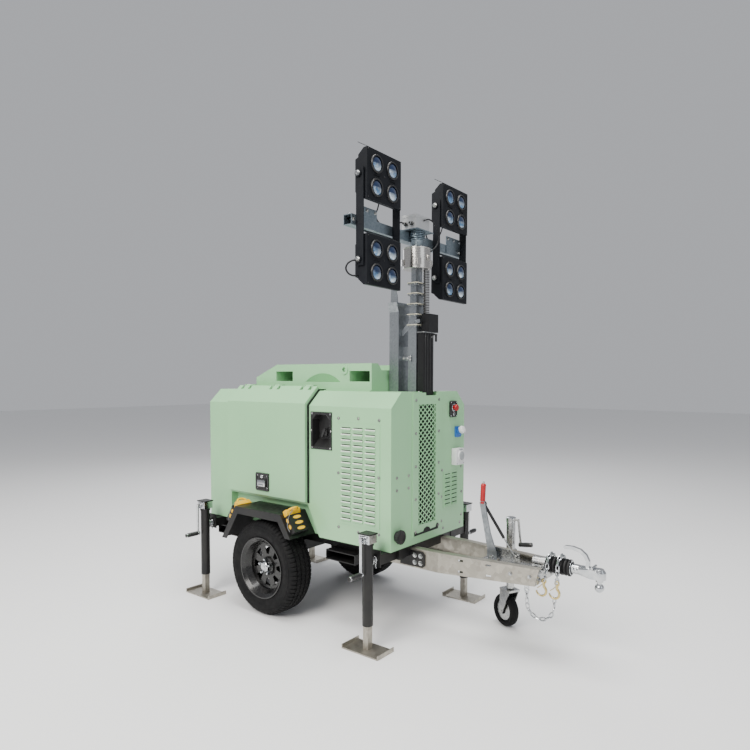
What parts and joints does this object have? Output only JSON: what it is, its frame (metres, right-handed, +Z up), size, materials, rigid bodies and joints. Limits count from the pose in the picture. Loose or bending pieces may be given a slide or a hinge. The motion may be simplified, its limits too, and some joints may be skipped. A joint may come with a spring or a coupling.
{
  "type": "mobile light tower",
  "caption": "Towed light tower: closed generator canopy on one axle, four swivel jacks, A-frame drawbar and a telescopic mast with floodlights.",
  "frame": {"origin": "middle of the bounding box, on the ground", "axes": "+X forwards to the coupling, +Y to the left, +Z up"},
  "size_m": [2.873, 1.396, 2.9105],
  "materials": {
    "mint_paint": "gloss",
    "black_paint": "satin",
    "galvanised": "satin",
    "zinc_plate": "satin",
    "stainless": "brushed",
    "yellow_plastic": "satin",
    "tyre_rubber": "matte",
    "bellows_rubber": "matte",
    "black_plastic": "satin",
    "lamp_black": "matte",
    "engine_grey": "matte",
    "controls_mixed": "gloss",
    "box_steel": "satin"
  },
  "bodies": {
    "root": {"chassis_frame": "black_paint", "axle_beam": "black_paint", "mudguards": "black_paint", "chocks": "yellow_plastic", "drawbar_beams": "galvanised", "drawbar_plates": "black_paint", "coupling_housing": "zinc_plate", "coupling_bellows": "bellows_rubber", "coupling_head": "zinc_plate", "safety_chains": "zinc_plate", "canopy_front": "mint_paint", "canopy_rear": "mint_paint", "roof_frame": "mint_paint", "front_grille": "mint_paint", "louvre_panels": "mint_paint", "switch_recess": "black_plastic", "front_controls": "controls_mixed", "air_cap": "black_plastic", "engine_block": "engine_grey", "mast_column": "galvanised", "mast_outer": "galvanised", "cable_duct": "black_paint", "jockey_clamp": "zinc_plate"},
    "wheel_right": {"tyre_right": "tyre_rubber", "rim_right": "black_paint"},
    "door_right": {"door_right": "mint_paint", "latch_right": "black_plastic"},
    "wheel_left": {"tyre_left": "tyre_rubber", "rim_left": "black_paint"},
    "door_left": {"door_left": "mint_paint", "latch_left": "black_plastic"},
    "mast_1": {"mast_section_1": "galvanised"},
    "mast_2": {"mast_section_2": "galvanised"},
    "mast_3": {"mast_section_3": "galvanised"},
    "mast_4": {"mast_section_4": "galvanised"},
    "mast_5": {"mast_section_5": "galvanised", "mast_can": "stainless"},
    "head": {"crossbar": "galvanised", "lamp_bars": "lamp_black", "junction_box": "box_steel"},
    "lamp_upper_right": {"lamp_upper_right": "lamp_black"},
    "lamp_lower_right": {"lamp_lower_right": "lamp_black"},
    "lamp_upper_left": {"lamp_upper_left": "lamp_black"},
    "lamp_lower_left": {"lamp_lower_left": "lamp_black"},
    "jack_front_right": {"jack_front_right": "black_paint"},
    "leg_front_right": {"leg_front_right": "galvanised"},
    "jack_front_left": {"jack_front_left": "black_paint"},
    "leg_front_left": {"leg_front_left": "galvanised"},
    "jack_rear_right": {"jack_rear_right": "black_paint"},
    "leg_rear_right": {"leg_rear_right": "galvanised"},
    "jack_rear_left": {"jack_rear_left": "black_paint"},
    "leg_rear_left": {"leg_rear_left": "galvanised"},
    "jockey_leg": {"jockey_stem": "zinc_plate"},
    "jockey_fork": {"jockey_fork": "zinc_plate"},
    "jockey_wheel": {"jockey_wheel": "tyre_rubber"},
    "brake_lever": {"brake_lever": "black_paint"},
    "strut_body": {"strut_body": "black_paint"},
    "strut_rod": {"strut_rod": "stainless"}
  },
  "joints": [
    {"name": "wheel_right_spin", "type": "hinge", "parent": "root", "child": "wheel_right", "pos_m": [-0.6595, -0.4795, 0.315], "axis": [0, 1, 0], "continuous": true},
    {"name": "door_right_hinge", "type": "hinge", "parent": "root", "child": "door_right", "pos_m": [-0.767, -0.31102, 1.521], "axis": [-1, 0, 0], "range_deg": [0, 80]},
    {"name": "wheel_left_spin", "type": "hinge", "parent": "root", "child": "wheel_left", "pos_m": [-0.6595, 0.4795, 0.315], "axis": [0, 1, 0], "continuous": true},
    {"name": "door_left_hinge", "type": "hinge", "parent": "root", "child": "door_left", "pos_m": [-0.767, 0.31102, 1.521], "axis": [1, 0, 0], "range_deg": [0, 80]},
    {"name": "mast_1_slide", "type": "slide", "parent": "root", "child": "mast_1", "axis": [0, 0, 1], "range_m": [0, 1.15]},
    {"name": "mast_2_slide", "type": "slide", "parent": "mast_1", "child": "mast_2", "axis": [0, 0, 1], "range_m": [0, 1.15]},
    {"name": "mast_3_slide", "type": "slide", "parent": "mast_2", "child": "mast_3", "axis": [0, 0, 1], "range_m": [0, 1.15]},
    {"name": "mast_4_slide", "type": "slide", "parent": "mast_3", "child": "mast_4", "axis": [0, 0, 1], "range_m": [0, 1.15]},
    {"name": "mast_5_slide", "type": "slide", "parent": "mast_4", "child": "mast_5", "axis": [0, 0, 1], "range_m": [0, 1.15]},
    {"name": "head_turn", "type": "hinge", "parent": "mast_5", "child": "head", "pos_m": [0.1955, 0, 2.403], "axis": [0, 0, 1], "range_deg": [-170, 170]},
    {"name": "lamp_upper_right_tilt", "type": "hinge", "parent": "head", "child": "lamp_upper_right", "pos_m": [0.1905, -0.39, 2.728], "axis": [0, 1, 0], "range_deg": [-20, 60]},
    {"name": "lamp_lower_right_tilt", "type": "hinge", "parent": "head", "child": "lamp_lower_right", "pos_m": [0.1905, -0.39, 2.248], "axis": [0, 1, 0], "range_deg": [-20, 60]},
    {"name": "lamp_upper_left_tilt", "type": "hinge", "parent": "head", "child": "lamp_upper_left", "pos_m": [0.1905, 0.39, 2.728], "axis": [0, 1, 0], "range_deg": [-20, 60]},
    {"name": "lamp_lower_left_tilt", "type": "hinge", "parent": "head", "child": "lamp_lower_left", "pos_m": [0.1905, 0.39, 2.248], "axis": [0, 1, 0], "range_deg": [-20, 60]},
    {"name": "jack_front_right_swivel", "type": "hinge", "parent": "root", "child": "jack_front_right", "pos_m": [0.2425, -0.539, 0.519], "axis": [0, -1, 0], "range_deg": [0, 90]},
    {"name": "leg_front_right_slide", "type": "slide", "parent": "jack_front_right", "child": "leg_front_right", "axis": [0, 0, 1], "range_m": [-0.2, 0.1]},
    {"name": "jack_front_left_swivel", "type": "hinge", "parent": "root", "child": "jack_front_left", "pos_m": [0.2425, 0.539, 0.519], "axis": [0, -1, 0], "range_deg": [0, 90]},
    {"name": "leg_front_left_slide", "type": "slide", "parent": "jack_front_left", "child": "leg_front_left", "axis": [0, 0, 1], "range_m": [-0.2, 0.1]},
    {"name": "jack_rear_right_swivel", "type": "hinge", "parent": "root", "child": "jack_rear_right", "pos_m": [-1.3015, -0.539, 0.519], "axis": [0, 1, 0], "range_deg": [0, 90]},
    {"name": "leg_rear_right_slide", "type": "slide", "parent": "jack_rear_right", "child": "leg_rear_right", "axis": [0, 0, 1], "range_m": [-0.2, 0.1]},
    {"name": "jack_rear_left_swivel", "type": "hinge", "parent": "root", "child": "jack_rear_left", "pos_m": [-1.3015, 0.539, 0.519], "axis": [0, 1, 0], "range_deg": [0, 90]},
    {"name": "leg_rear_left_slide", "type": "slide", "parent": "jack_rear_left", "child": "leg_rear_left", "axis": [0, 0, 1], "range_m": [-0.2, 0.1]},
    {"name": "jockey_slide", "type": "slide", "parent": "root", "child": "jockey_leg", "axis": [0, 0, 1], "range_m": [-0.1, 0.1]},
    {"name": "jockey_swivel", "type": "hinge", "parent": "jockey_leg", "child": "jockey_fork", "pos_m": [0.7555, 0.25, 0.244], "axis": [0, 0, 1], "continuous": true},
    {"name": "jockey_spin", "type": "hinge", "parent": "jockey_fork", "child": "jockey_wheel", "pos_m": [0.71925, 0.26691, 0.103], "axis": [0.4226, 0.9063, 0], "continuous": true},
    {"name": "brake_lever_pull", "type": "hinge", "parent": "root", "child": "brake_lever", "pos_m": [0.7615, 0, 0.51], "axis": [0, -1, 0], "range_deg": [0, 45]},
    {"name": "strut_swing", "type": "hinge", "parent": "root", "child": "strut_rod", "pos_m": [0.9035, 0.01, 0.532], "axis": [0, -1, 0], "range_deg": [0, 34.3]},
    {"name": "strut_stroke", "type": "slide", "parent": "strut_rod", "child": "strut_body", "axis": [-0.5825, 0, 0.8128], "range_m": [0, 0.0815]}
  ],
  "couplings": [
    {"joint": "mast_2_slide", "follows": "mast_1_slide", "ratio": 1},
    {"joint": "mast_3_slide", "follows": "mast_1_slide", "ratio": 1},
    {"joint": "mast_4_slide", "follows": "mast_1_slide", "ratio": 1},
    {"joint": "mast_5_slide", "follows": "mast_1_slide", "ratio": 1},
    {"joint": "strut_swing", "follows": "brake_lever_pull", "ratio": 0.76},
    {"joint": "strut_stroke", "follows": "brake_lever_pull", "m_per_rad": 0.1035}
  ]
}
